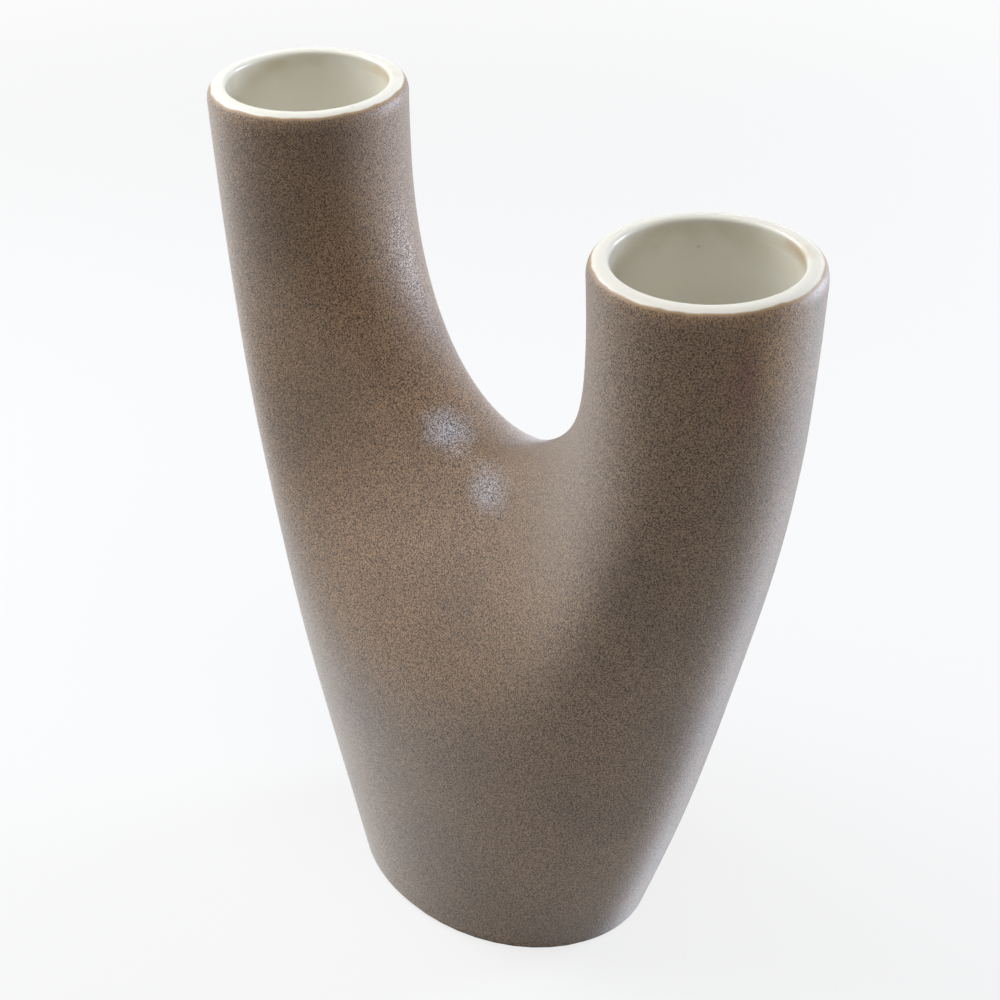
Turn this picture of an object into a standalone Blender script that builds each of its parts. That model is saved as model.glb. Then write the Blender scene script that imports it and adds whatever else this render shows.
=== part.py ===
"""Two-necked stoneware vase, modelled as its clay pieces and its coats of glaze.

The vase stands on the XY plane with +Z up, its two necks side by side along X.
One smooth closed skin gives its outside. Each layer of the wall is that skin moved inwards
by the layer's own depth, cut to its own stretch of height and hollowed out by a deeper skin.
"""
import math

import bmesh
import bpy
from mathutils import Vector

# Overall sizes, in metres
HEIGHT = 0.205
MOUTH_DIAMETER = 0.050
NECK_SPACING = 0.138
FORK_HEIGHT = 0.132
FOOT_LENGTH = 0.088
FOOT_DEPTH = 0.068

# The cage's widest ring, just under the fork, which the smoothing draws in to about 0.080
BELLY_DEPTH = 0.094

# Each neck where it is slimmest, part of the way from the fork to the mouth, and how much closer
# together the necks are there than at their mouths
WAIST_LENGTH = 0.0465
WAIST_DEPTH = 0.0488
WAIST_SHARE = 0.42
NECK_LEAN = 0.0015

# Corners of the cage around the bottom of the fork
FORK_CORNER_SPREAD = 0.060
FORK_CORNER_DEPTH = 0.024
SADDLE_SPREAD = 0.024
SADDLE_DEPTH = 0.020

# Rings of the body: share of the fork's height, of the way out to the necks, and of the way to the belly
LOWER_RING = (0.34, 0.35, 0.34)
MIDDLE_RING = (0.66, 0.58, 0.71)
FORK_RING = (0.92, 0.78, 1.00)

# Layers of the wall
OUTER_GLAZE = 0.0005
CLAY = 0.0032
LINER_GLAZE = 0.0005
GAP = 0.0003

# Rim: its height, how far its crown lies from the bore, and how full its rounding is, where 2 is an ellipse
RIM_HEIGHT = 0.0040
RIM_CROWN = 0.0013
RIM_FULLNESS = 2.6

# Floor, bare foot and the joints between the clay pieces
BASE_THICKNESS = 0.0045
BARE_FOOT = 0.0015
NECK_JOINT_RISE = 0.018

# Fineness of the surfaces
BODY_SIDES = 12
NECK_SIDES = 8
SMOOTHING_LEVELS = 2
RIM_STEPS = 40
RIM_ARC_STEPS = 6
MERGE_DISTANCE = 0.00001

# Colours and roughness of the materials
BARE_CLAY = (0.40, 0.31, 0.23)
BARE_CLAY_ROUGHNESS = 0.85
BROWN_GLAZE = (0.16, 0.11, 0.075)
BROWN_GLAZE_ROUGHNESS = 0.50
WHITE_GLAZE = (0.74, 0.72, 0.66)
WHITE_GLAZE_ROUGHNESS = 0.25

# Depths below the skin
GLAZE_INSIDE = OUTER_GLAZE
CLAY_OUTSIDE = GLAZE_INSIDE + GAP
CLAY_INSIDE = CLAY_OUTSIDE + CLAY
LINER_OUTSIDE = CLAY_INSIDE + GAP
LINER_INSIDE = LINER_OUTSIDE + LINER_GLAZE
WALL = LINER_INSIDE

# Heights
RIM_BOTTOM = HEIGHT - RIM_HEIGHT
WALL_TOP = RIM_BOTTOM - GAP
NECK_JOINT = FORK_HEIGHT + NECK_JOINT_RISE
WALL_BOTTOM = BASE_THICKNESS + GAP
LINER_FLOOR = WALL_BOTTOM + LINER_GLAZE

# Reach of the cutters, well past the vase on every side
REACH = NECK_SPACING + MOUTH_DIAMETER
LEFT, RIGHT = -1, 1


def new_collection(name):
    """A collection in the scene, for the parts or for their cutters."""
    collection = bpy.data.collections.new(name)
    bpy.context.scene.collection.children.link(collection)
    return collection


def ring(bm, sides, centre, half_length, half_depth, height):
    """A level oval of cage points, set out so that the smoothed oval has the sizes asked for."""
    drawn_in = (4 + 2 * math.cos(2 * math.pi / sides)) / 6
    points = []
    for step in range(sides):
        angle = (step + 0.5) * 2 * math.pi / sides
        x = centre + half_length / drawn_in * math.cos(angle)
        y = half_depth / drawn_in * math.sin(angle)
        points.append(bm.verts.new((x, y, height)))
    return points


def body_ring(bm, shares):
    """One of the body's ovals, between the foot and the fork."""
    up, out, belly = shares
    widest = (NECK_SPACING + MOUTH_DIAMETER - FOOT_LENGTH) / 2
    deepest = (BELLY_DEPTH - FOOT_DEPTH) / 2
    half_length = FOOT_LENGTH / 2 + out * widest
    half_depth = FOOT_DEPTH / 2 + belly * deepest
    return ring(bm, BODY_SIDES, 0, half_length, half_depth, up * FORK_HEIGHT)


def beyond(bm, end, inner):
    """A ring past an open end, in line with the last two, so that the skin runs straight out there."""
    return [bm.verts.new(2 * at_end.co - before.co) for at_end, before in zip(end, inner)]


def bridge(bm, lower, upper):
    """A belt of quads between two rings with as many points."""
    count = len(lower)
    for step in range(count):
        after = (step + 1) % count
        bm.faces.new((lower[step], lower[after], upper[after], upper[step]))


def neck(bm, side, base):
    """The belts of one neck, from its loop at the fork up to a closed end above its mouth."""
    waist_height = FORK_HEIGHT + WAIST_SHARE * (WALL_TOP - FORK_HEIGHT)
    waist_centre = side * (NECK_SPACING - NECK_LEAN) / 2
    waist = ring(bm, NECK_SIDES, waist_centre, WAIST_LENGTH / 2, WAIST_DEPTH / 2, waist_height)
    mouth_radius = MOUTH_DIAMETER / 2
    mouth = ring(bm, NECK_SIDES, side * NECK_SPACING / 2, mouth_radius, mouth_radius, WALL_TOP)
    end = beyond(bm, mouth, waist)
    for lower, upper in ((base, waist), (waist, mouth), (mouth, end)):
        bridge(bm, lower, upper)
    bm.faces.new(end)


def skin_cage():
    """The coarse closed cage of the whole outside: an oval body that forks into two necks."""
    bm = bmesh.new()
    foot = ring(bm, BODY_SIDES, 0, FOOT_LENGTH / 2, FOOT_DEPTH / 2, 0)
    lower = body_ring(bm, LOWER_RING)
    middle = body_ring(bm, MIDDLE_RING)
    fork = body_ring(bm, FORK_RING)
    under = beyond(bm, foot, lower)
    bm.faces.new(list(reversed(under)))
    for below, above in ((under, foot), (foot, lower), (lower, middle), (middle, fork)):
        bridge(bm, below, above)

    # The four points at the middle of the fork's ring are drawn in, where the necks part
    right_back, left_back = fork[2], fork[3]
    left_front, right_front = fork[8], fork[9]
    corners = ((right_back, 1, 1), (left_back, -1, 1), (left_front, -1, -1), (right_front, 1, -1))
    for point, toward_x, toward_y in corners:
        point.co.x = toward_x * FORK_CORNER_SPREAD / 2
        point.co.y = toward_y * FORK_CORNER_DEPTH / 2

    # The saddle, a strip of three quads from the front to the back
    saddle = {}
    for toward_x in (LEFT, RIGHT):
        for toward_y in (-1, 1):
            place = (toward_x * SADDLE_SPREAD / 2, toward_y * SADDLE_DEPTH / 2, FORK_HEIGHT)
            saddle[toward_x, toward_y] = bm.verts.new(place)
    saddle_front = (saddle[LEFT, -1], saddle[RIGHT, -1])
    saddle_back = (saddle[LEFT, 1], saddle[RIGHT, 1])
    bm.faces.new((left_front, right_front, saddle_front[1], saddle_front[0]))
    bm.faces.new((saddle_front[0], saddle_front[1], saddle_back[1], saddle_back[0]))
    bm.faces.new((saddle_back[0], saddle_back[1], right_back, left_back))

    left_loop = [saddle_back[0], left_back] + fork[4:8] + [left_front, saddle_front[0]]
    right_loop = fork[0:2] + [right_back, saddle_back[1], saddle_front[1], right_front] + fork[10:12]
    neck(bm, LEFT, left_loop)
    neck(bm, RIGHT, right_loop)

    mesh = bpy.data.meshes.new("skin_cage")
    bm.to_mesh(mesh)
    bm.free()
    mesh.shade_smooth()
    return mesh


def skin(name, depth, collection):
    """The smooth closed skin, moved inwards by a depth, with the same facets at every depth."""
    shape = bpy.data.objects.new(name, cage.copy())
    collection.objects.link(shape)
    smooth = shape.modifiers.new("Smooth", "SUBSURF")
    smooth.levels = SMOOTHING_LEVELS
    smooth.render_levels = SMOOTHING_LEVELS
    facets = shape.modifiers.new("Facets", "TRIANGULATE")
    facets.quad_method = "FIXED"
    inward = shape.modifiers.new("Inward", "DISPLACE")
    inward.mid_level = 0
    inward.strength = -depth
    return shape


def as_cutter(shape):
    """Keep a shape for cutting alone."""
    shape.hide_render = True
    shape.display_type = "WIRE"
    return shape


def stretch(name, bottom, top, left=-REACH, right=REACH):
    """A block that keeps what lies between two heights, and on one side where that is given."""
    low = Vector((left, -REACH, bottom))
    high = Vector((right, REACH, top))
    bm = bmesh.new()
    bmesh.ops.create_cube(bm, size=1)
    bmesh.ops.scale(bm, vec=high - low, verts=bm.verts)
    bmesh.ops.translate(bm, vec=(low + high) / 2, verts=bm.verts)
    mesh = bpy.data.meshes.new(name)
    bm.to_mesh(mesh)
    bm.free()
    block = bpy.data.objects.new(name, mesh)
    cutters.objects.link(block)
    return as_cutter(block)


def cut(shape, operation, cutter):
    """Cut a shape with another one."""
    boolean = shape.modifiers.new(operation.title(), "BOOLEAN")
    boolean.operation = operation
    boolean.object = cutter
    boolean.solver = "EXACT"


def coloured(shape, colour, roughness):
    """Give a part its own material and its place under the vase's empty."""
    material = bpy.data.materials.new(shape.name)
    material.use_nodes = True
    shader = material.node_tree.nodes["Principled BSDF"]
    shader.inputs["Base Color"].default_value = (*colour, 1)
    shader.inputs["Roughness"].default_value = roughness
    shader.inputs["Metallic"].default_value = 0
    shape.data.materials.clear()
    shape.data.materials.append(material)
    shape.parent = vase


def layer(name, depth, span, hollow=None):
    """A layer of the wall: a skin at its depth, cut to its span and hollowed by a deeper skin."""
    shape = skin(name, depth, parts)
    cut(shape, "INTERSECT", span)
    if hollow:
        cut(shape, "DIFFERENCE", hollow)
    return shape


def rounding(share):
    """How far along and how far up a rounding has come, each from 0 to 1, after a share of its turn."""
    turn = share * math.pi / 2
    return 1 - math.cos(turn) ** (2 / RIM_FULLNESS), math.sin(turn) ** (2 / RIM_FULLNESS)


def rim_section():
    """The rim's section as radius and height: up the bore, over the crown and down the outside."""
    outside = MOUTH_DIAMETER / 2
    bore = outside - WALL
    shares = [step / RIM_ARC_STEPS for step in range(RIM_ARC_STEPS + 1)]
    section = [(bore, 0)]
    for along, up in map(rounding, shares):
        section.append((bore + along * RIM_CROWN, RIM_HEIGHT - (1 - up) * RIM_CROWN))
    for along, up in map(rounding, reversed(shares[:-1])):
        section.append((outside - along * (WALL - RIM_CROWN), up * RIM_HEIGHT))
    return section


def rim(name, side):
    """The rounded rim that closes the top of one neck's wall."""
    bm = bmesh.new()
    points = [bm.verts.new((radius, 0, height)) for radius, height in rim_section()]
    for step, point in enumerate(points):
        bm.edges.new((point, points[(step + 1) % len(points)]))
    mesh = bpy.data.meshes.new(name)
    bm.to_mesh(mesh)
    bm.free()
    shape = bpy.data.objects.new(name, mesh)
    parts.objects.link(shape)
    shape.location = (side * NECK_SPACING / 2, 0, RIM_BOTTOM)
    turn = shape.modifiers.new("Turn", "SCREW")
    turn.steps = RIM_STEPS
    turn.render_steps = RIM_STEPS
    turn.use_merge_vertices = True
    turn.merge_threshold = MERGE_DISTANCE
    turn.use_smooth_shade = True
    return shape


for old in list(bpy.data.objects):
    bpy.data.objects.remove(old)

parts = new_collection("vase")
cutters = new_collection("cutters")
vase = bpy.data.objects.new("vase_frame", None)
parts.objects.link(vase)
cage = skin_cage()

clay_hollow = as_cutter(skin("clay_hollow", CLAY_INSIDE, cutters))
glaze_hollow = as_cutter(skin("glaze_hollow", GLAZE_INSIDE, cutters))
cavity = as_cutter(skin("cavity", LINER_INSIDE, cutters))
cut(cavity, "INTERSECT", stretch("above_liner_floor", LINER_FLOOR, 2 * HEIGHT))

# Clay: a floor, the forked wall of the body, and a tube for each neck
base_span = stretch("base_span", 0, BASE_THICKNESS)
base = layer("base", CLAY_OUTSIDE, base_span)
coloured(base, BARE_CLAY, BARE_CLAY_ROUGHNESS)

body_span = stretch("body_span", WALL_BOTTOM, NECK_JOINT)
body_wall = layer("body_wall", CLAY_OUTSIDE, body_span, clay_hollow)
coloured(body_wall, BARE_CLAY, BARE_CLAY_ROUGHNESS)

left_span = stretch("left_span", NECK_JOINT + GAP, WALL_TOP, right=0)
left_neck = layer("left_neck", CLAY_OUTSIDE, left_span, clay_hollow)
coloured(left_neck, BARE_CLAY, BARE_CLAY_ROUGHNESS)

right_span = stretch("right_span", NECK_JOINT + GAP, WALL_TOP, left=0)
right_neck = layer("right_neck", CLAY_OUTSIDE, right_span, clay_hollow)
coloured(right_neck, BARE_CLAY, BARE_CLAY_ROUGHNESS)

# Glaze: the brown coat outside, the white liner inside and the white rims
glaze_span = stretch("glaze_span", BARE_FOOT, WALL_TOP)
outer_glaze = layer("outer_glaze", 0, glaze_span, glaze_hollow)
coloured(outer_glaze, BROWN_GLAZE, BROWN_GLAZE_ROUGHNESS)

liner_span = stretch("liner_span", WALL_BOTTOM, WALL_TOP)
liner_glaze = layer("liner_glaze", LINER_OUTSIDE, liner_span, cavity)
coloured(liner_glaze, WHITE_GLAZE, WHITE_GLAZE_ROUGHNESS)

for rim_name, rim_side in (("left_rim", LEFT), ("right_rim", RIGHT)):
    coloured(rim(rim_name, rim_side), WHITE_GLAZE, WHITE_GLAZE_ROUGHNESS)
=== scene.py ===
# %% [markdown]
# # A two-necked stoneware vase
# The vase is fired clay: an oval foot, a body that forks, and two round necks. Outside it wears a sandy, matt
# brown glaze, and inside a glossy white one that comes up over both lips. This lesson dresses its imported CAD
# model. The clay pieces stay as they are, nearly out of sight, and smoother pieces stand for the coats of glaze.

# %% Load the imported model
import math

import bmesh
import bpy
from mathutils import Matrix, Vector


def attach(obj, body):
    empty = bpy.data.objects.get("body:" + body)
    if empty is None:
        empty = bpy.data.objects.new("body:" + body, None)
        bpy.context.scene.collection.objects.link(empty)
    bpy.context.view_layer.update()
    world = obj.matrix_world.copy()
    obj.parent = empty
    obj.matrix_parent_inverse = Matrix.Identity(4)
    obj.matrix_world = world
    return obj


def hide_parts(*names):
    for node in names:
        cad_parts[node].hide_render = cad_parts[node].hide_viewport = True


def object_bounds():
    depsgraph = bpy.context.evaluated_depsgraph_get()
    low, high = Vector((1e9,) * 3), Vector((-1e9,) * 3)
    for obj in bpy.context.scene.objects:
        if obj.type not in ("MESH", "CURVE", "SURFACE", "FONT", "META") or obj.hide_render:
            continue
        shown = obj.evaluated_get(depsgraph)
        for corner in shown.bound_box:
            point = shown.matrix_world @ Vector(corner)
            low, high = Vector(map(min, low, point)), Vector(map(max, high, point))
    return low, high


MM = 0.001
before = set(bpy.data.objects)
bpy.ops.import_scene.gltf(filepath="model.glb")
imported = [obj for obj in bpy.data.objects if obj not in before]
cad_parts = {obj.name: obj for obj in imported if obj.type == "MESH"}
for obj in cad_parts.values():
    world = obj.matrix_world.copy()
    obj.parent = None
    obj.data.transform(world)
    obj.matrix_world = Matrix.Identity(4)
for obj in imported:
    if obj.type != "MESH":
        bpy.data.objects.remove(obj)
cad_low, cad_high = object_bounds()
scene = bpy.context.scene
print("CAD nodes:", ", ".join(sorted(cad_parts)))
print("CAD box in mm:", [round(side / MM, 1) for side in cad_high - cad_low])

# %% [markdown]
# ## Sizes
# The pieces have to fit the CAD model, so its real sizes come first, in metres. The height is read from the model.
# The others shape its surface and its wall. They can't be read from a box, so they are written out again.

# %% Real sizes
HEIGHT = cad_high.z
MOUTH_RADIUS = 25 * MM
NECK_OFFSET = 69 * MM
FORK_HEIGHT = 132 * MM
FOOT_HALF = Vector((44, 34)) * MM
BELLY_HALF = Vector((94, 47)) * MM
WAIST_HALF = Vector((23.25, 24.4)) * MM
WAIST_OFFSET = 68.25 * MM
WAIST_SHARE = 0.42
FORK_CORNER = Vector((30, 12)) * MM
SADDLE_CORNER = Vector((12, 10)) * MM

WALL = 4.8 * MM
GLAZE = 0.5 * MM
BARE_FOOT = 1.5 * MM
LIP_HEIGHT = 4 * MM
LIP_CROWN = 1.3 * MM
LIP_BOTTOM = HEIGHT - LIP_HEIGHT
JOINT_GAP = 0.3 * MM
WALL_TOP = LIP_BOTTOM - JOINT_GAP
FLOOR_TOP = 5.3 * MM
print("Height", round(HEIGHT / MM, 1), "mm, wall", round(WALL / MM, 1), "mm")

# %% [markdown]
# ## Camera
# The photograph was taken from the front right, close to the vase and above it. Its place and turn were found by
# matching the vase's outline, so they are plain numbers. Turning a camera about its own axis, then up, then round
# the vase keeps each number easy to read.

# %% Camera
CAMERA_PLACE = Vector((340.0, -285.2, 394.6)) * MM
CAMERA_ROUND = math.radians(49.90)
CAMERA_ABOVE = math.radians(32.29)
CAMERA_ROLL = math.radians(-1.27)
FOCAL_LENGTH = 75.93
SENSOR = 36

camera_data = bpy.data.cameras.new("camera")
camera_data.sensor_width = SENSOR
camera_data.lens = FOCAL_LENGTH
camera = bpy.data.objects.new("camera", camera_data)
scene.collection.objects.link(camera)
round_turn = Matrix.Rotation(CAMERA_ROUND, 4, "Z")
tilt = Matrix.Rotation(math.pi / 2 - CAMERA_ABOVE, 4, "X")
roll = Matrix.Rotation(CAMERA_ROLL, 4, "Z")
camera.matrix_world = Matrix.Translation(CAMERA_PLACE) @ round_turn @ tilt @ roll
scene.camera = camera
print("Camera is", round(CAMERA_PLACE.length, 2), "m from the foot")

# %% [markdown]
# ## Nodes
# Finishes, light and shapes are all built from nodes. One small function adds a node: its settings go on the node
# itself, and each input is either set to a value or, where the value is another node's output, linked to it. Inputs
# go by name, or by number where a node has several of one name: on a Mix node 0 is the share, 2 and 3 are its
# numbers, 6 and 7 its colours, and its colour comes out at 2. Colours are written as the hex values that a screen
# shows, and one function turns them to the linear light that Blender works in.

# %% Helpers for nodes and colours
def add_node(tree, kind, inputs=None, **settings):
    """Add a node with its settings, and set or link its inputs."""
    node = tree.nodes.new(kind)
    for name, value in settings.items():
        setattr(node, name, value)
    for key, value in (inputs or {}).items():
        if isinstance(value, bpy.types.NodeSocket):
            tree.links.new(value, node.inputs[key])
        else:
            node.inputs[key].default_value = value
    return node


def linear(hex_colour):
    """A colour such as "#6b5a49" as linear red, green, blue and alpha."""
    shares = [int(hex_colour[place:place + 2], 16) / 255 for place in (1, 3, 5)]
    light = [s / 12.92 if s <= 0.04045 else ((s + 0.055) / 1.055) ** 2.4 for s in shares]
    return (*light, 1)


print("Mid grey is", round(linear("#808080")[0], 3), "in linear light")

# %% [markdown]
# ## Light
# The vase stands in the soft light of a studio. One lamp would leave hard edges, so large soft boxes stand around it.
# The two strongest stand to the left and right, a little behind the vase, and draw a pale rim down its sides. Each
# has a level: at level 1 it alone would show a white card that faces it as white. A square lamp needs that level
# times pi squared times its distance squared, in watts.

# %% Soft boxes
SOFT_BOXES = {
    # name: degrees round from the camera, degrees up, distance, width, level, colour
    "left_back_box": (-118, 33, 0.6, 0.36, 0.70, "#f2f7ff"),
    "right_box": (110, 7, 1.0, 0.42, 1.42, "#dbe8ff"),
    "left_high_box": (-95, 54, 1.0, 0.5, 0.30, "#f8faff"),
    "front_high_box": (20, 68, 1.0, 0.6, 0.26, "#ffffff"),
    "top_box": (180, 88, 1.0, 0.6, 0.12, "#ffffff"),
}
AIM = Vector((0, 0, HEIGHT / 2))
for box_name, (box_round, box_up, distance, width, level, box_colour) in SOFT_BOXES.items():
    lamp = bpy.data.lights.new(box_name, "AREA")
    lamp.size = width
    lamp.color = linear(box_colour)[:3]
    lamp.energy = level * math.pi ** 2 * distance ** 2
    box = bpy.data.objects.new(box_name, lamp)
    scene.collection.objects.link(box)
    turned = Matrix.Rotation(CAMERA_ROUND + math.radians(box_round), 4, "Z")
    raised = Matrix.Rotation(math.pi / 2 - math.radians(box_up), 4, "X")
    box.matrix_world = Matrix.Translation(AIM) @ turned @ raised @ Matrix.Translation((0, 0, distance))
print(len(SOFT_BOXES), "soft boxes, the nearest at", min(box[2] for box in SOFT_BOXES.values()), "m")

# %% [markdown]
# ## World
# A photographer would hang a white backdrop and light it apart from the vase. Here the world is the backdrop. It
# shows white to the camera and to reflections, and gives the vase only a little light, so the background is white
# without more light on the vase. The Light Path node tells these rays apart.

# %% World
FILL_LEVEL = 0.03
BACKDROP_LEVEL = 1
PURE_WHITE = (1, 1, 1, 1)


def seen_by_eye(tree):
    """Add nodes that give 1 for rays from the camera, a reflection or clear glass, and 0 for lighting."""
    path = add_node(tree, "ShaderNodeLightPath").outputs
    direct = add_node(tree, "ShaderNodeMath", {
        0: path["Is Camera Ray"], 1: path["Is Glossy Ray"]}, operation="MAXIMUM")
    return add_node(tree, "ShaderNodeMath", {
        0: direct.outputs[0], 1: path["Is Transmission Ray"]}, operation="MAXIMUM").outputs[0]


world = bpy.data.worlds.new("bright_room")
scene.world = world
world.use_nodes = True
sky = world.node_tree
sky.nodes.clear()
fill = add_node(sky, "ShaderNodeBackground", {"Color": PURE_WHITE, "Strength": FILL_LEVEL})
backdrop = add_node(sky, "ShaderNodeBackground", {"Color": PURE_WHITE, "Strength": BACKDROP_LEVEL})
sky_mix = add_node(sky, "ShaderNodeMixShader", {
    0: seen_by_eye(sky), 1: fill.outputs[0], 2: backdrop.outputs[0]})
add_node(sky, "ShaderNodeOutputWorld", {"Surface": sky_mix.outputs[0]})
scene.view_settings.view_transform = "Standard"
print("World fills with", FILL_LEVEL, "and shows", BACKDROP_LEVEL)

# %% [markdown]
# ## Floor
# The floor is matt and pale. To the camera and to reflections most of it is plain white, as the background of a
# studio photograph is, and the rest is its paint under the lamps, which keeps the vase's soft shadow. Farther out
# there is little shadow to show, so the white share grows there until the floor's edge can't be seen.

# %% Floor finish
FLOOR_COLOUR = "#dededc"
FLOOR_ROUGHNESS = 0.9
FLOOR_SPECULAR = 0.1
FLOOR_WHITE = 0.8
FADE_START = 0.35
FADE_END = 1.0

# Matt wall paint: it shows soft shadows and no reflections
floor_material = bpy.data.materials.new("pale_painted_floor")
floor_material.use_nodes = True
floor_tree = floor_material.node_tree
floor_paint = floor_tree.nodes["Principled BSDF"]
floor_paint.inputs["Base Color"].default_value = linear(FLOOR_COLOUR)
floor_paint.inputs["Roughness"].default_value = FLOOR_ROUGHNESS
floor_paint.inputs["Specular IOR Level"].default_value = FLOOR_SPECULAR
floor_place = add_node(floor_tree, "ShaderNodeTexCoord").outputs["Object"]
floor_far = add_node(floor_tree, "ShaderNodeVectorMath", {0: floor_place}, operation="LENGTH")
floor_white = add_node(floor_tree, "ShaderNodeMapRange", {
    "Value": floor_far.outputs["Value"], "From Min": FADE_START, "From Max": FADE_END, "To Min": FLOOR_WHITE},
    interpolation_type="SMOOTHSTEP")
floor_share = add_node(floor_tree, "ShaderNodeMath", {
    0: seen_by_eye(floor_tree), 1: floor_white.outputs[0]}, operation="MULTIPLY")
floor_glow = add_node(floor_tree, "ShaderNodeEmission", {"Color": PURE_WHITE, "Strength": BACKDROP_LEVEL})
floor_mix = add_node(floor_tree, "ShaderNodeMixShader", {
    0: floor_share.outputs[0], 1: floor_paint.outputs[0], 2: floor_glow.outputs[0]})
floor_tree.links.new(floor_mix.outputs[0], floor_tree.nodes["Material Output"].inputs["Surface"])
print("Floor fades to white between", FADE_START, "and", FADE_END, "m")

# %% [markdown]
# One large square is enough for a floor. It lies a hair below the foot, so that the two surfaces don't flicker.

# %% Floor
FLOOR_HALF = 3.0
FLOOR_DROP = 0.05 * MM
floor_mesh = bpy.data.meshes.new("floor")
corners = [(x * FLOOR_HALF, y * FLOOR_HALF, -FLOOR_DROP) for x, y in ((-1, -1), (1, -1), (1, 1), (-1, 1))]
floor_mesh.from_pydata(corners, [], [(0, 1, 2, 3)])
floor_mesh.materials.append(floor_material)
floor = bpy.data.objects.new("floor", floor_mesh)
scene.collection.objects.link(floor)
print("Floor is", 2 * FLOOR_HALF, "m wide")

# %% [markdown]
# ## Patches in the brown glaze
# Where the brown glaze ran thin it fired to gold, with a reddish streak beside it. In the valley between the necks
# two pale patches are painted highlights: glints of light on the curved valley, drawn into the colour. Each could be
# painted by hand. A soft oval with a ragged edge is enough, and it keeps its place on the vase: the distance from its
# middle, counted in its own half sizes, is made uneven by noise and then turned into a share.

# %% Patches
PATCH_RAGGED = 0.8
PATCH_OUTSIDE = 1.6
PATCH_INSIDE = 0.3
GOLD_BROWN = "#cf9f64"
RED_BROWN = "#a0644e"
PAINTED_HIGHLIGHT_WHITE = "#dcd8de"
PATCHES = (
    # colour, strength, middle and half sizes in millimetres
    (GOLD_BROWN, 0.90, (92.8, -4.5, 193), (15, 12, 20)),
    (RED_BROWN, 0.80, (91, -11, 189), (7, 5, 13)),
    (GOLD_BROWN, 0.60, (51, 2, 14), (10, 12, 10)),
    (GOLD_BROWN, 0.50, (-91, 9, 188), (9, 11, 11)),
    # Painted highlights: two glints of light in the valley, drawn as pale patches in the glaze's colour
    (PAINTED_HIGHLIGHT_WHITE, 0.95, (-9.7, -7.2, 133.1), (9, 7.5, 6)),
    (PAINTED_HIGHLIGHT_WHITE, 0.70, (12.3, -12.3, 128), (10, 6, 7)),
)


def patch(tree, place, ragged, strength, middle_mm, half_mm):
    """Add the nodes of a soft oval patch with a ragged edge, and return its share at each point."""
    away = add_node(tree, "ShaderNodeVectorMath", {0: place, 1: Vector(middle_mm) * MM}, operation="SUBTRACT")
    scaled = add_node(tree, "ShaderNodeVectorMath", {
        0: away.outputs[0], 1: Vector(half_mm) * MM}, operation="DIVIDE")
    far = add_node(tree, "ShaderNodeVectorMath", {0: scaled.outputs[0]}, operation="LENGTH")
    edge = add_node(tree, "ShaderNodeMath", {
        0: ragged, 1: PATCH_RAGGED, 2: far.outputs["Value"]}, operation="MULTIPLY_ADD")
    return add_node(tree, "ShaderNodeMapRange", {
        "Value": edge.outputs[0], "From Min": PATCH_OUTSIDE, "From Max": PATCH_INSIDE, "To Max": strength},
        interpolation_type="SMOOTHSTEP").outputs[0]


print(len(PATCHES), "patches in the brown glaze")

# %% [markdown]
# ## Brown glaze
# The outside is a matt stoneware glaze, sprayed on and fired. It is full of fine crystals, so it looks and feels
# like fine sand. The grain could be modelled, but it is finer than any mesh here. Fine noise makes it instead, and
# the same noise gives colour, roughness and relief, so that they agree: pale, smoother tops over dark, rough pits.
# The dark pits and pale tops are partly the glaze's own speckle and partly painted shade and painted highlight.
# Slow noise adds darker clouds. The sheen is the same all over, because an exported model keeps only a plain one.
# The real grain is about a quarter of a millimetre, one pixel of the picture, so it is drawn coarser, to show.

# %% Brown glaze nodes
GRAIN = 0.35 * MM
GRAIN_HEIGHT = 0.06 * MM
PIT_NOISE, TOP_NOISE = 0.40, 0.60
PIT_ROUGHNESS, TOP_ROUGHNESS = 0.8, 0.36
# Partly painted light: the dark pits hold painted shade and the pale tops painted highlight, over the glaze's own
# speckle
PIT_BROWN_AND_SHADE = "#2b1f15"
PALE_BROWN = "#a98662"
CLOUD = 32 * MM
CLOUD_START, CLOUD_FULL = 0.45, 0.7
CLOUD_SHARE = 0.5
CLOUD_BROWN = "#816852"
PATCH_EDGE = 5 * MM


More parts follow.
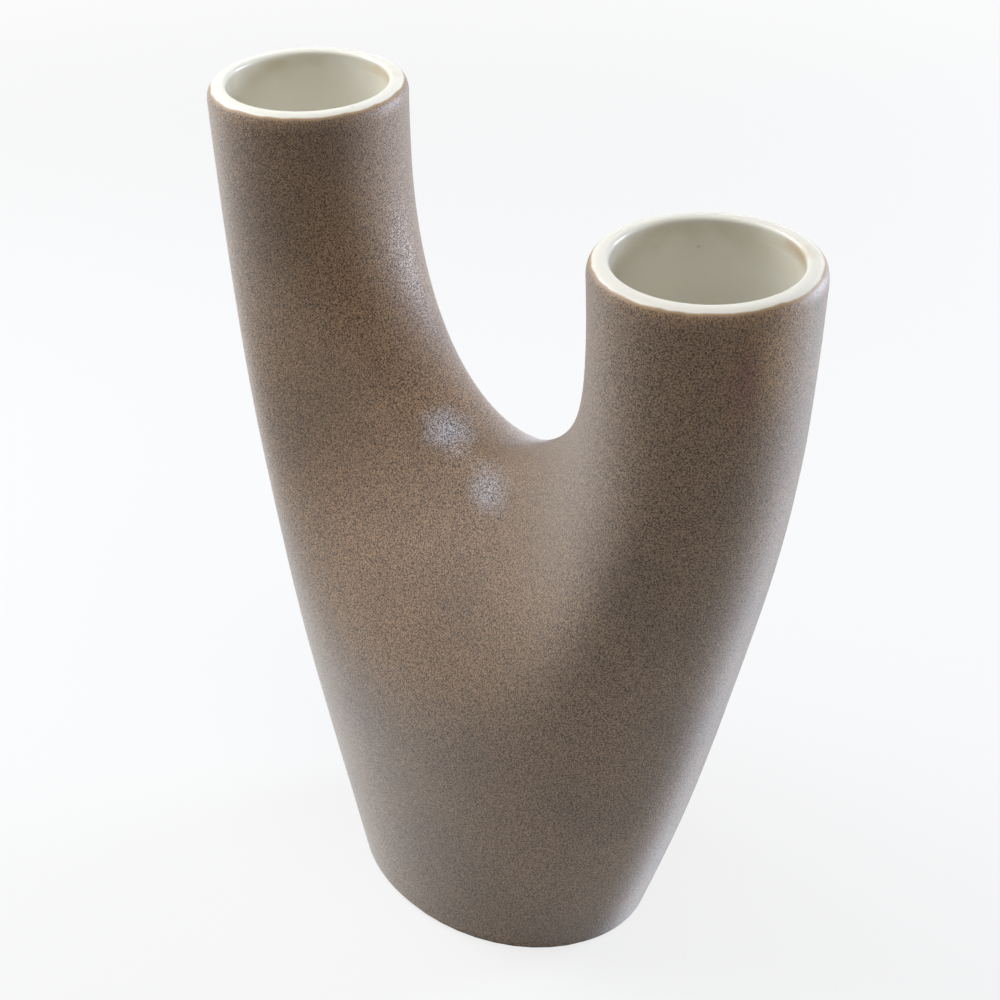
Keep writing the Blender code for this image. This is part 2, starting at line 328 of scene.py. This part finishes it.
def brown_glaze(tree):
    """Add the brown glaze's nodes and return its colour, roughness and height."""
    place = add_node(tree, "ShaderNodeTexCoord").outputs["Object"]
    grains = add_node(tree, "ShaderNodeTexNoise", {
        "Vector": place, "Scale": 1 / GRAIN, "Detail": 2, "Roughness": 0.7}).outputs["Fac"]
    top = add_node(tree, "ShaderNodeMapRange", {
        "Value": grains, "From Min": PIT_NOISE, "From Max": TOP_NOISE}).outputs[0]
    cloud = add_node(tree, "ShaderNodeTexNoise", {"Vector": place, "Scale": 1 / CLOUD, "Detail": 2})
    cloudy = add_node(tree, "ShaderNodeMapRange", {
        "Value": cloud.outputs["Fac"], "From Min": CLOUD_START, "From Max": CLOUD_FULL, "To Max": CLOUD_SHARE})
    pale = add_node(tree, "ShaderNodeMix", {
        0: cloudy.outputs[0], 6: linear(PALE_BROWN), 7: linear(CLOUD_BROWN)}, data_type="RGBA").outputs[2]
    ragged = add_node(tree, "ShaderNodeTexNoise", {
        "Vector": place, "Scale": 1 / PATCH_EDGE, "Detail": 3}).outputs["Fac"]
    for patch_colour, *oval in PATCHES:
        share = patch(tree, place, ragged, *oval)
        pale = add_node(tree, "ShaderNodeMix", {
            0: share, 6: pale, 7: linear(patch_colour)}, data_type="RGBA").outputs[2]
    colour = add_node(tree, "ShaderNodeMix", {
        0: top, 6: linear(PIT_BROWN_AND_SHADE), 7: pale}, data_type="RGBA").outputs[2]
    roughness = add_node(tree, "ShaderNodeMapRange", {
        "Value": top, "To Min": PIT_ROUGHNESS, "To Max": TOP_ROUGHNESS}).outputs[0]
    return colour, roughness, grains


print("Brown grain of", round(GRAIN / MM, 2), "mm, clouds of", round(CLOUD / MM), "mm")

# %% [markdown]
# The nodes give colour, roughness and relief to one shader. It reflects a little less than plain glass, because
# crystals break up its surface, and the sheen stands for the light that the grains scatter along the surface.

# %% Brown glaze material
SHEEN = 0.74
SHEEN_TINT = "#fbf7f2"
BROWN_SPECULAR = 0.4

# Sprayed and fired matt glaze: it looks like fine sand, warm brown in front and pale along the edges
brown_material = bpy.data.materials.new("matt_brown_stoneware_glaze")
brown_material.use_nodes = True
brown_tree = brown_material.node_tree
brown_colour, brown_roughness, brown_height = brown_glaze(brown_tree)
brown_bump = add_node(brown_tree, "ShaderNodeBump", {
    "Strength": 1, "Distance": GRAIN_HEIGHT, "Height": brown_height})
brown_shader = brown_tree.nodes["Principled BSDF"]
brown_shader.inputs["Specular IOR Level"].default_value = BROWN_SPECULAR
brown_shader.inputs["Sheen Weight"].default_value = SHEEN
brown_shader.inputs["Sheen Tint"].default_value = linear(SHEEN_TINT)
brown_tree.links.new(brown_colour, brown_shader.inputs["Base Color"])
brown_tree.links.new(brown_roughness, brown_shader.inputs["Roughness"])
brown_tree.links.new(brown_bump.outputs[0], brown_shader.inputs["Normal"])
print("Brown glaze of", len(brown_tree.nodes), "nodes with a sheen of", SHEEN)

# %% [markdown]
# ## White glaze
# The inside has a glossy, warm white liner glaze, poured in and out again. It is a little uneven, it has taken a
# faint tan tinge just under the lips, and a few tiny specks of iron show through it. The height of a point tells how
# much tinge there is, so that it runs on unbroken from the liner to the lip, and Voronoi cells scatter the specks.

# %% White glaze nodes
WHITE = "#f6f2e4"
TINGE = "#d5c7a0"
TINGE_DEPTH = 12 * MM
TINGE_TOP = 2 * MM
TINGE_SHARE = 0.6
TINGE_PATCH = 12 * MM
TINGE_START, TINGE_FULL = 0.35, 0.7
SPECK = "#8d8470"
SPECK_SPACING = 9 * MM
SPECK_OUTSIDE, SPECK_INSIDE = 0.07, 0.03
SPECK_SHARE = 0.45
UNEVEN = 6 * MM


def white_glaze(tree):
    """Add the white glaze's nodes and return its colour and its height."""
    place = add_node(tree, "ShaderNodeTexCoord").outputs["Object"]
    height = add_node(tree, "ShaderNodeSeparateXYZ", {0: place}).outputs["Z"]
    near_lip = add_node(tree, "ShaderNodeMapRange", {
        "Value": height, "From Min": HEIGHT - TINGE_DEPTH, "From Max": HEIGHT - TINGE_TOP,
        "To Max": TINGE_SHARE}, interpolation_type="SMOOTHSTEP")
    below_crown = add_node(tree, "ShaderNodeMapRange", {
        "Value": height, "From Min": HEIGHT - LIP_CROWN / 2, "From Max": HEIGHT - TINGE_TOP},
        interpolation_type="SMOOTHSTEP")
    inside = add_node(tree, "ShaderNodeMath", {
        0: near_lip.outputs[0], 1: below_crown.outputs[0]}, operation="MULTIPLY")
    patches = add_node(tree, "ShaderNodeTexNoise", {"Vector": place, "Scale": 1 / TINGE_PATCH, "Detail": 2})
    patchy = add_node(tree, "ShaderNodeMapRange", {
        "Value": patches.outputs["Fac"], "From Min": TINGE_START, "From Max": TINGE_FULL})
    tinge = add_node(tree, "ShaderNodeMath", {0: inside.outputs[0], 1: patchy.outputs[0]}, operation="MULTIPLY")
    tinged = add_node(tree, "ShaderNodeMix", {
        0: tinge.outputs[0], 6: linear(WHITE), 7: linear(TINGE)}, data_type="RGBA")
    specks = add_node(tree, "ShaderNodeTexVoronoi", {"Vector": place, "Scale": 1 / SPECK_SPACING})
    speck = add_node(tree, "ShaderNodeMapRange", {
        "Value": specks.outputs["Distance"], "From Min": SPECK_OUTSIDE, "From Max": SPECK_INSIDE,
        "To Max": SPECK_SHARE})
    colour = add_node(tree, "ShaderNodeMix", {
        0: speck.outputs[0], 6: tinged.outputs[2], 7: linear(SPECK)}, data_type="RGBA")
    uneven = add_node(tree, "ShaderNodeTexNoise", {"Vector": place, "Scale": 1 / UNEVEN, "Detail": 1})
    return colour.outputs[2], uneven.outputs["Fac"]


print("White glaze", WHITE, "with a tinge", round(TINGE_DEPTH / MM), "mm deep")

# %% [markdown]
# The liner is the plainer of the two glazes: one gloss all over, and a slow relief that makes its reflections waver.

# %% White glaze material
WHITE_ROUGHNESS = 0.22
UNEVEN_HEIGHT = 0.05 * MM

# Poured and fired glossy glaze: it looks wet and smooth, and reflections waver in it
white_material = bpy.data.materials.new("glossy_white_liner_glaze")
white_material.use_nodes = True
white_tree = white_material.node_tree
white_colour, white_height = white_glaze(white_tree)
white_bump = add_node(white_tree, "ShaderNodeBump", {
    "Strength": 1, "Distance": UNEVEN_HEIGHT, "Height": white_height})
white_shader = white_tree.nodes["Principled BSDF"]
white_shader.inputs["Roughness"].default_value = WHITE_ROUGHNESS
white_tree.links.new(white_colour, white_shader.inputs["Base Color"])
white_tree.links.new(white_bump.outputs[0], white_shader.inputs["Normal"])
print("White glaze of", len(white_tree.nodes), "nodes with a roughness of", WHITE_ROUGHNESS)

# %% [markdown]
# ## Lip glaze
# On the lips the white glaze meets the brown one. The line between them breaks to a thin golden tan, and wanders
# a little. Both necks have the same lip, so one material serves both: it measures how far a point is from the
# axis of its own neck, and noise shifts that distance.

# %% Where the glazes meet
WHITE_EDGE = 23.6 * MM
TAN_EDGE = 24.05 * MM
BROWN_EDGE = 24.5 * MM
WANDER = 0.9 * MM
WANDER_LENGTH = 5 * MM

lip_material = bpy.data.materials.new("white_glaze_breaking_to_brown")
lip_material.use_nodes = True
lip_tree = lip_material.node_tree
lip_place = add_node(lip_tree, "ShaderNodeTexCoord").outputs["Object"]
lip_parts = add_node(lip_tree, "ShaderNodeSeparateXYZ", {0: lip_place})
from_middle = add_node(lip_tree, "ShaderNodeMath", {0: lip_parts.outputs["X"]}, operation="ABSOLUTE")
from_axis = add_node(lip_tree, "ShaderNodeMath", {
    0: from_middle.outputs[0], 1: NECK_OFFSET}, operation="SUBTRACT")
flat_place = add_node(lip_tree, "ShaderNodeCombineXYZ", {
    "X": from_axis.outputs[0], "Y": lip_parts.outputs["Y"], "Z": 0})
radius = add_node(lip_tree, "ShaderNodeVectorMath", {0: flat_place.outputs[0]}, operation="LENGTH")
wander = add_node(lip_tree, "ShaderNodeTexNoise", {
    "Vector": lip_place, "Scale": 1 / WANDER_LENGTH, "Detail": 3}).outputs["Fac"]
wandered = add_node(lip_tree, "ShaderNodeMath", {
    0: wander, 1: WANDER, 2: radius.outputs["Value"]}, operation="MULTIPLY_ADD")
tan_share, white_share = (add_node(lip_tree, "ShaderNodeMapRange", {
    "Value": wandered.outputs[0], "From Min": outer + WANDER / 2, "From Max": inner + WANDER / 2},
    interpolation_type="SMOOTHSTEP").outputs[0]
    for outer, inner in ((BROWN_EDGE, TAN_EDGE), (TAN_EDGE, WHITE_EDGE)))
print("White ends", round((MOUTH_RADIUS - TAN_EDGE) / MM, 1), "mm from the outside of the lip")

# %% [markdown]
# From outside to inside, the lip's colours lie over each other: brown, then tan, then white. On the inner edge of
# each lip the white glaze is thin in one place, and a streak of tan shows through. Gloss and relief change from
# one glaze to the other with the colours, and only the brown part has the sheen.

# %% Lip glaze material
BREAK_TAN = "#a98a62"
BREAK_ROUGHNESS = 0.5
STREAK_TAN = "#c9a470"
STREAKS = (
    # strength, middle and half sizes in millimetres
    (0.7, (78.5, 18, 203), (12, 5, 2.5)),
    (0.6, (-60, 18.5, 203), (12, 5, 2.5)),
)

# Two glazes that ran into each other: glossy white inside, matt sandy brown outside, and golden between them
lip_brown, _, lip_grain = brown_glaze(lip_tree)
lip_white, lip_uneven = white_glaze(lip_tree)
for streak in STREAKS:
    streak_share = patch(lip_tree, lip_place, wander, *streak)
    lip_white = add_node(lip_tree, "ShaderNodeMix", {
        0: streak_share, 6: lip_white, 7: linear(STREAK_TAN)}, data_type="RGBA").outputs[2]
tan_over = add_node(lip_tree, "ShaderNodeMix", {
    0: tan_share, 6: lip_brown, 7: linear(BREAK_TAN)}, data_type="RGBA")
white_over = add_node(lip_tree, "ShaderNodeMix", {
    0: white_share, 6: tan_over.outputs[2], 7: lip_white}, data_type="RGBA")
lip_gloss = add_node(lip_tree, "ShaderNodeMix", {0: white_share, 2: BREAK_ROUGHNESS, 3: WHITE_ROUGHNESS})
lip_sheen = add_node(lip_tree, "ShaderNodeMix", {0: tan_share, 2: SHEEN, 3: 0})
lip_relief = add_node(lip_tree, "ShaderNodeMix", {0: tan_share, 2: lip_grain, 3: lip_uneven})
lip_bump = add_node(lip_tree, "ShaderNodeBump", {
    "Strength": 1, "Distance": GRAIN_HEIGHT, "Height": lip_relief.outputs[0]})
lip_shader = lip_tree.nodes["Principled BSDF"]
lip_shader.inputs["Sheen Tint"].default_value = linear(SHEEN_TINT)
lip_tree.links.new(white_over.outputs[2], lip_shader.inputs["Base Color"])
lip_tree.links.new(lip_gloss.outputs[0], lip_shader.inputs["Roughness"])
lip_tree.links.new(lip_sheen.outputs[0], lip_shader.inputs["Sheen Weight"])
lip_tree.links.new(lip_bump.outputs[0], lip_shader.inputs["Normal"])
print("Lip glaze of", len(lip_tree.nodes), "nodes with", len(STREAKS), "streaks")

# %% [markdown]
# ## Bare clay
# The foot is left bare, so that it doesn't stick to the kiln shelf. Fired stoneware clay is dry and matt, a warm
# grey buff with small dark and pale specks of grog, which is crushed fired clay. Noise at the size of the grog
# gives both colour and relief. The CAD model's own clay pieces keep their shape and only get this finish.

# %% Bare clay
GROG = 0.8 * MM
GROG_HEIGHT = 0.06 * MM
GROG_DARK, GROG_PALE = 0.3, 0.7
CLAY_DARK = "#7a6a58"
CLAY_PALE = "#a8967f"
CLAY_ROUGHNESS = 0.9
CLAY_SPECULAR = 0.3
CLAY_NODES = ("base", "body_wall", "left_neck", "right_neck")

# Unglazed fired clay: it looks dry and grainy, with no gloss
clay_material = bpy.data.materials.new("bare_stoneware_clay")
clay_material.use_nodes = True
clay_tree = clay_material.node_tree
clay_place = add_node(clay_tree, "ShaderNodeTexCoord").outputs["Object"]
grog = add_node(clay_tree, "ShaderNodeTexNoise", {
    "Vector": clay_place, "Scale": 1 / GROG, "Detail": 3, "Roughness": 0.7}).outputs["Fac"]
grog_share = add_node(clay_tree, "ShaderNodeMapRange", {
    "Value": grog, "From Min": GROG_DARK, "From Max": GROG_PALE})
clay_colour = add_node(clay_tree, "ShaderNodeMix", {
    0: grog_share.outputs[0], 6: linear(CLAY_DARK), 7: linear(CLAY_PALE)}, data_type="RGBA")
clay_bump = add_node(clay_tree, "ShaderNodeBump", {"Strength": 1, "Distance": GROG_HEIGHT, "Height": grog})
clay_shader = clay_tree.nodes["Principled BSDF"]
clay_shader.inputs["Roughness"].default_value = CLAY_ROUGHNESS
clay_shader.inputs["Specular IOR Level"].default_value = CLAY_SPECULAR
clay_tree.links.new(clay_colour.outputs[2], clay_shader.inputs["Base Color"])
clay_tree.links.new(clay_bump.outputs[0], clay_shader.inputs["Normal"])
for clay_node in CLAY_NODES:
    clay_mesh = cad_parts[clay_node].data
    clay_mesh.materials.clear()
    clay_mesh.materials.append(clay_material)
print("Bare clay on", ", ".join(CLAY_NODES))

# %% [markdown]
# ## Skin
# The outside is one smooth surface that forks, which no lathe or extrusion gives. Subdivision does: a coarse cage
# of rings is smoothed until it flows from the oval foot into both necks. This is the cage that the CAD model was
# made from, so the pieces fit it. Smoothing draws a ring in, so each ring is set out wider to make up for it. Past
# an open end the cage runs on in a straight line, so that the skin doesn't curl in there.

# %% Rings of the cage
BODY_SIDES = 12
NECK_SIDES = 8
# Rings of the body: share of the fork's height, and of the growth in length and in depth from foot to belly
LOWER_RING = (0.34, 0.35, 0.34)
MIDDLE_RING = (0.66, 0.58, 0.71)
FORK_RING = (0.92, 0.78, 1.00)


def ring(bm, sides, centre, half, height):
    """A level oval of cage points, set out so that the smoothed oval has the half length and depth asked for."""
    drawn_in = (4 + 2 * math.cos(2 * math.pi / sides)) / 6
    turns = [(step + 0.5) * 2 * math.pi / sides for step in range(sides)]
    return [bm.verts.new((centre + half.x / drawn_in * math.cos(turn), half.y / drawn_in * math.sin(turn), height))
            for turn in turns]


def body_ring(bm, shares):
    """One of the body's ovals, part of the way from the foot to the fork."""
    up, out, belly = shares
    spread = BELLY_HALF - FOOT_HALF
    half = FOOT_HALF + Vector((out * spread.x, belly * spread.y))
    return ring(bm, BODY_SIDES, 0, half, up * FORK_HEIGHT)


def beyond(bm, end, inner):
    """A ring past an open end, in line with the last two, so that the skin runs straight out there."""
    return [bm.verts.new(2 * at_end.co - before.co) for at_end, before in zip(end, inner)]


def bridge(bm, lower, upper):
    """A belt of quads between two rings with as many points."""
    for step in range(len(lower)):
        after = (step + 1) % len(lower)
        bm.faces.new((lower[step], lower[after], upper[after], upper[step]))


print("Rings of", BODY_SIDES, "points round the body and", NECK_SIDES, "round each neck")

# %% [markdown]
# Four points in the middle of the fork's ring are drawn in, where the necks part, and a strip of three quads between
# them makes the saddle. What is left of the ring on each side, with the saddle's edge, is a loop of eight points:
# the start of a neck.

# %% Cage of the skin
cage_bm = bmesh.new()
foot = ring(cage_bm, BODY_SIDES, 0, FOOT_HALF, 0)
lower, middle, fork = (body_ring(cage_bm, shares) for shares in (LOWER_RING, MIDDLE_RING, FORK_RING))
under = beyond(cage_bm, foot, lower)
cage_bm.faces.new(list(reversed(under)))
for below, above in ((under, foot), (foot, lower), (lower, middle), (middle, fork)):
    bridge(cage_bm, below, above)

right_back, left_back, left_front, right_front = fork[2], fork[3], fork[8], fork[9]
for point in (right_back, left_back, left_front, right_front):
    point.co.x = math.copysign(FORK_CORNER.x, point.co.x)
    point.co.y = math.copysign(FORK_CORNER.y, point.co.y)
saddle = {(x, y): cage_bm.verts.new((x * SADDLE_CORNER.x, y * SADDLE_CORNER.y, FORK_HEIGHT))
          for x in (-1, 1) for y in (-1, 1)}
cage_bm.faces.new((left_front, right_front, saddle[1, -1], saddle[-1, -1]))
cage_bm.faces.new((saddle[-1, -1], saddle[1, -1], saddle[1, 1], saddle[-1, 1]))
cage_bm.faces.new((saddle[-1, 1], saddle[1, 1], right_back, left_back))

left_loop = [saddle[-1, 1], left_back] + fork[4:8] + [left_front, saddle[-1, -1]]
right_loop = fork[0:2] + [right_back, saddle[1, 1], saddle[1, -1], right_front] + fork[10:12]
waist_height = FORK_HEIGHT + WAIST_SHARE * (WALL_TOP - FORK_HEIGHT)
for side, loop in ((-1, left_loop), (1, right_loop)):
    waist = ring(cage_bm, NECK_SIDES, side * WAIST_OFFSET, WAIST_HALF, waist_height)
    mouth = ring(cage_bm, NECK_SIDES, side * NECK_OFFSET, Vector((MOUTH_RADIUS, MOUTH_RADIUS)), WALL_TOP)
    end = beyond(cage_bm, mouth, waist)
    for below, above in ((loop, waist), (waist, mouth), (mouth, end)):
        bridge(cage_bm, below, above)
    cage_bm.faces.new(end)
cage = bpy.data.meshes.new("cage")
cage_bm.to_mesh(cage)
cage_bm.free()
print("Cage of", len(cage.polygons), "faces")

# %% [markdown]
# ## Layers of the wall
# Every layer of the wall follows the skin at its own depth, which is a rule, so Geometry Nodes make it: smooth the
# cage, then move each point along its normal. A glaze is never quite even, so slow noise adds a few hundredths
# of a millimetre. One function runs a tree on a mesh and keeps what it makes as a plain mesh.

# %% Node tree of a layer
layer_tree = bpy.data.node_groups.new("layer_of_the_wall", "GeometryNodeTree")
for label, kind in (("Cage", "Geometry"), ("Levels", "Int"), ("Depth", "Float"), ("Unevenness", "Float"),
                    ("Wave length", "Float"), ("Seed", "Float"), ("Material", "Material")):
    layer_tree.interface.new_socket(label, in_out="INPUT", socket_type="NodeSocket" + kind)
layer_tree.interface.new_socket("Layer", in_out="OUTPUT", socket_type="NodeSocketGeometry")
given = add_node(layer_tree, "NodeGroupInput").outputs
smooth = add_node(layer_tree, "GeometryNodeSubdivisionSurface", {
    "Mesh": given["Cage"], "Level": given["Levels"]})
wave_scale = add_node(layer_tree, "ShaderNodeMath", {0: 1, 1: given["Wave length"]}, operation="DIVIDE")
waves = add_node(layer_tree, "ShaderNodeTexNoise", {
    "W": given["Seed"], "Scale": wave_scale.outputs[0], "Detail": 0}, noise_dimensions="4D")
centred = add_node(layer_tree, "ShaderNodeMath", {0: waves.outputs["Fac"], 1: 0.5}, operation="SUBTRACT")
wavy = add_node(layer_tree, "ShaderNodeMath", {
    0: centred.outputs[0], 1: given["Unevenness"]}, operation="MULTIPLY")
rise = add_node(layer_tree, "ShaderNodeMath", {0: wavy.outputs[0], 1: given["Depth"]}, operation="SUBTRACT")
normal = add_node(layer_tree, "GeometryNodeInputNormal")
offset = add_node(layer_tree, "ShaderNodeVectorMath", {
    0: normal.outputs["Normal"], "Scale": rise.outputs[0]}, operation="SCALE")
moved = add_node(layer_tree, "GeometryNodeSetPosition", {
    "Geometry": smooth.outputs[0], "Offset": offset.outputs[0]})
shaded = add_node(layer_tree, "GeometryNodeSetShadeSmooth", {0: moved.outputs[0]})
realized = add_node(layer_tree, "GeometryNodeRealizeInstances", {0: shaded.outputs[0]})
finished = add_node(layer_tree, "GeometryNodeSetMaterial", {
    0: realized.outputs[0], "Material": given["Material"]})
add_node(layer_tree, "NodeGroupOutput", {0: finished.outputs[0]})


def grown(name, start, tree, values):
    """Run a node tree on a mesh once, and keep what it makes as a plain mesh object."""
    piece = bpy.data.objects.new(name, start)
    scene.collection.objects.link(piece)
    modifier = piece.modifiers.new("Shape", "NODES")
    modifier.node_group = tree
    inputs = [item for item in tree.interface.items_tree if item.in_out == "INPUT"]
    for item in inputs:
        if item.name in values:
            modifier[item.identifier] = values[item.name]
    graph = bpy.context.evaluated_depsgraph_get()
    made = bpy.data.meshes.new_from_object(piece.evaluated_get(graph), depsgraph=graph)
    piece.modifiers.clear()
    piece.data = made
    made.name = name
    return piece


print("Layer tree of", len(layer_tree.nodes), "nodes")

# %% [markdown]
# A layer runs past both mouths and through the foot, so it is cut off there, and Solidify gives the sheet that is
# left its thickness. The edges of the cut stay sharp.

# %% Cutting and thickening
SHARP_ANGLE = 50
SHARP_EDGE = math.radians(SHARP_ANGLE)
CUT_REACH = 0.001 * MM


def cut_off(bm, height, keep_above):
    """Cut a mesh off level at a height."""
    everything = bm.verts[:] + bm.edges[:] + bm.faces[:]
    bmesh.ops.bisect_plane(bm, geom=everything, dist=CUT_REACH, plane_co=(0, 0, height), plane_no=(0, 0, 1),
                           clear_inner=keep_above, clear_outer=not keep_above)


def thicken(piece, thickness):
    """Give a sheet its thickness, away from the side that its faces point to."""
    solid = piece.modifiers.new("Thickness", "SOLIDIFY")
    solid.thickness = thickness
    solid.offset = -1
    graph = bpy.context.evaluated_depsgraph_get()
    made = bpy.data.meshes.new_from_object(piece.evaluated_get(graph), depsgraph=graph)
    piece.modifiers.clear()
    piece.data = made
    made.set_sharp_from_angle(angle=SHARP_EDGE)


print("Edges over", SHARP_ANGLE, "degrees stay sharp")

# %% [markdown]
# ## Brown coat
# The brown glaze is a skin half a millimetre thick on the clay, from just above the foot to the lips. It could be
# painted on the clay instead, but then its edge at the foot would have no thickness. So it is the outermost layer,
# cut off at both ends.

# %% Brown coat
LEVELS = 4
UNEVENNESS = 0.12 * MM
WAVE_LENGTH = 16 * MM
BROWN_SEED = 3.0
brown_coat = grown("brown_coat", cage.copy(), layer_tree, {
    "Levels": LEVELS, "Depth": 0.0, "Unevenness": UNEVENNESS, "Wave length": WAVE_LENGTH, "Seed": BROWN_SEED,
    "Material": brown_material})
coat_bm = bmesh.new()
coat_bm.from_mesh(brown_coat.data)
cut_off(coat_bm, BARE_FOOT, keep_above=True)
cut_off(coat_bm, LIP_BOTTOM, keep_above=False)
coat_bm.to_mesh(brown_coat.data)
coat_bm.free()
thicken(brown_coat, GLAZE)
print("Brown coat has", len(brown_coat.data.polygons), "faces")

# %% [markdown]
# ## White liner
# The white glaze lies on the inside of the wall, so it is the layer at the wall's full depth, facing inwards. It was
# poured in, so it rounds the corner where the wall meets the floor. The layer is cut off just above the floor, its
# lower edge is drawn in and down along a quarter circle, a step at a time, and a flat face closes the floor.

# %% White liner
FILLET = 6 * MM
FILLET_STEPS = 6
WHITE_SEED = 5.0
white_liner = grown("white_liner", cage.copy(), layer_tree, {
    "Levels": LEVELS, "Depth": WALL, "Unevenness": UNEVENNESS, "Wave length": WAVE_LENGTH, "Seed": WHITE_SEED,
    "Material": white_material})
liner_bm = bmesh.new()
liner_bm.from_mesh(white_liner.data)
cut_off(liner_bm, FLOOR_TOP + FILLET, keep_above=True)
cut_off(liner_bm, LIP_BOTTOM, keep_above=False)
rim = [edge for edge in liner_bm.edges if edge.is_boundary and edge.verts[0].co.z < FORK_HEIGHT]
turns = [math.pi / 2 * step / FILLET_STEPS for step in range(FILLET_STEPS + 1)]
for last_turn, turn in zip(turns, turns[1:]):
    made = bmesh.ops.extrude_edge_only(liner_bm, edges=rim)["geom"]
    rim = [part for part in made if isinstance(part, bmesh.types.BMEdge) and part.is_boundary]
    drawn_in = FILLET * (math.cos(last_turn) - math.cos(turn))
    for vert in (part for part in made if isinstance(part, bmesh.types.BMVert)):
        vert.co -= Vector((vert.co.x, vert.co.y, 0)).normalized() * drawn_in
        vert.co.z = FLOOR_TOP + FILLET * (1 - math.sin(turn))
bmesh.ops.contextual_create(liner_bm, geom=rim)
bmesh.ops.recalc_face_normals(liner_bm, faces=liner_bm.faces)
bmesh.ops.reverse_faces(liner_bm, faces=liner_bm.faces)
for face in liner_bm.faces:
    face.smooth = True
liner_bm.to_mesh(white_liner.data)
liner_bm.free()
thicken(white_liner, GLAZE)
print("White liner has", len(white_liner.data.polygons), "faces")

# %% [markdown]
# ## Lips
# Each neck ends in a rounded lip: a short curve in to the bore, a crown, and a taller curve down to the outside. Two
# roundings a little fuller than ellipses give its section. A lathe would turn it round the neck's axis. Here the
# section is swept round a circle, where Curve to Mesh turns a section's X away from the circle's centre and its Y
# down.

# %% Section of a lip
LIP_FULLNESS = 2.6
LIP_STEPS = 14


def rounding(share):
    """How far along and how far up a rounding has come, each from 0 to 1, after a share of its turn."""
    turn = share * math.pi / 2
    return 1 - math.cos(turn) ** (2 / LIP_FULLNESS), math.sin(turn) ** (2 / LIP_FULLNESS)


steps = [step / LIP_STEPS for step in range(LIP_STEPS + 1)]
section = [(-WALL, 0, 0)]
for along, up in map(rounding, steps):
    section.append((along * LIP_CROWN - WALL, (1 - up) * LIP_CROWN - LIP_HEIGHT, 0))
for along, up in map(rounding, reversed(steps[:-1])):
    section.append((along * (LIP_CROWN - WALL), -up * LIP_HEIGHT, 0))
lip_section = bpy.data.meshes.new("lip_section")
section_edges = [(point, (point + 1) % len(section)) for point in range(len(section))]
lip_section.from_pydata(section, section_edges, [])
print("Section of", len(section), "points")

# %% [markdown]
# The sweep is the same for both necks, so one tree makes it, with the mouth's radius and place as inputs. It makes
# the circle, turns the section's edges into a curve and sweeps that along the circle.

# %% Node tree of a lip
lip_shape = bpy.data.node_groups.new("lip_round_a_mouth", "GeometryNodeTree")
for label, kind in (("Section", "Geometry"), ("Mouth radius", "Float"), ("Place", "Vector"),
                    ("Steps round", "Int"), ("Material", "Material")):
    lip_shape.interface.new_socket(label, in_out="INPUT", socket_type="NodeSocket" + kind)
lip_shape.interface.new_socket("Lip", in_out="OUTPUT", socket_type="NodeSocketGeometry")
asked = add_node(lip_shape, "NodeGroupInput").outputs
circle = add_node(lip_shape, "GeometryNodeCurvePrimitiveCircle", {
    "Resolution": asked["Steps round"], "Radius": asked["Mouth radius"]}, mode="RADIUS")
outline = add_node(lip_shape, "GeometryNodeMeshToCurve", {"Mesh": asked["Section"]})
swept = add_node(lip_shape, "GeometryNodeCurveToMesh", {
    "Curve": circle.outputs["Curve"], "Profile Curve": outline.outputs[0]})
put = add_node(lip_shape, "GeometryNodeSetPosition", {
    "Geometry": swept.outputs[0], "Offset": asked["Place"]})
round_shaded = add_node(lip_shape, "GeometryNodeSetShadeSmooth", {0: put.outputs[0]})
lip_real = add_node(lip_shape, "GeometryNodeRealizeInstances", {0: round_shaded.outputs[0]})
lip_done = add_node(lip_shape, "GeometryNodeSetMaterial", {
    0: lip_real.outputs[0], "Material": asked["Material"]})
add_node(lip_shape, "NodeGroupOutput", {0: lip_done.outputs[0]})
print("Lip tree of", len(lip_shape.nodes), "nodes")

# %% [markdown]
# A sweep can turn a shape inside out. A closed shape that faces outwards has a volume above zero, counted from the
# heights of its faces, so each lip is tested for that.

# %% Both lips
LIP_TURNS = 192
lips = {}
for side, lip_name in ((-1, "left_lip"), (1, "right_lip")):
    lip = grown(lip_name, lip_section.copy(), lip_shape, {
        "Mouth radius": MOUTH_RADIUS, "Place": (side * NECK_OFFSET, 0, LIP_BOTTOM), "Steps round": LIP_TURNS,
        "Material": lip_material})
    lip.data.set_sharp_from_angle(angle=SHARP_EDGE)
    lips[lip_name] = lip
    heights = [round(vert.co.z / MM, 2) for vert in lip.data.vertices]
    volume = sum(face.center.z * face.normal.z * face.area for face in lip.data.polygons)
    print(lip_name, "from", min(heights), "to", max(heights), "mm, faces outwards:", volume > 0)

# %% [markdown]
# ## Dress the model
# Each new piece rides on the vase's only body and stands for the CAD node that it covers.

# %% Stand for the CAD nodes
STANDS_FOR = (
    (brown_coat, "outer_glaze"),
    (white_liner, "liner_glaze"),
    (lips["left_lip"], "left_rim"),
    (lips["right_lip"], "right_rim"),
)
for piece, node_name in STANDS_FOR:
    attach(piece, "root")
    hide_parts(node_name)
print(len(STANDS_FOR), "pieces stand for CAD nodes")
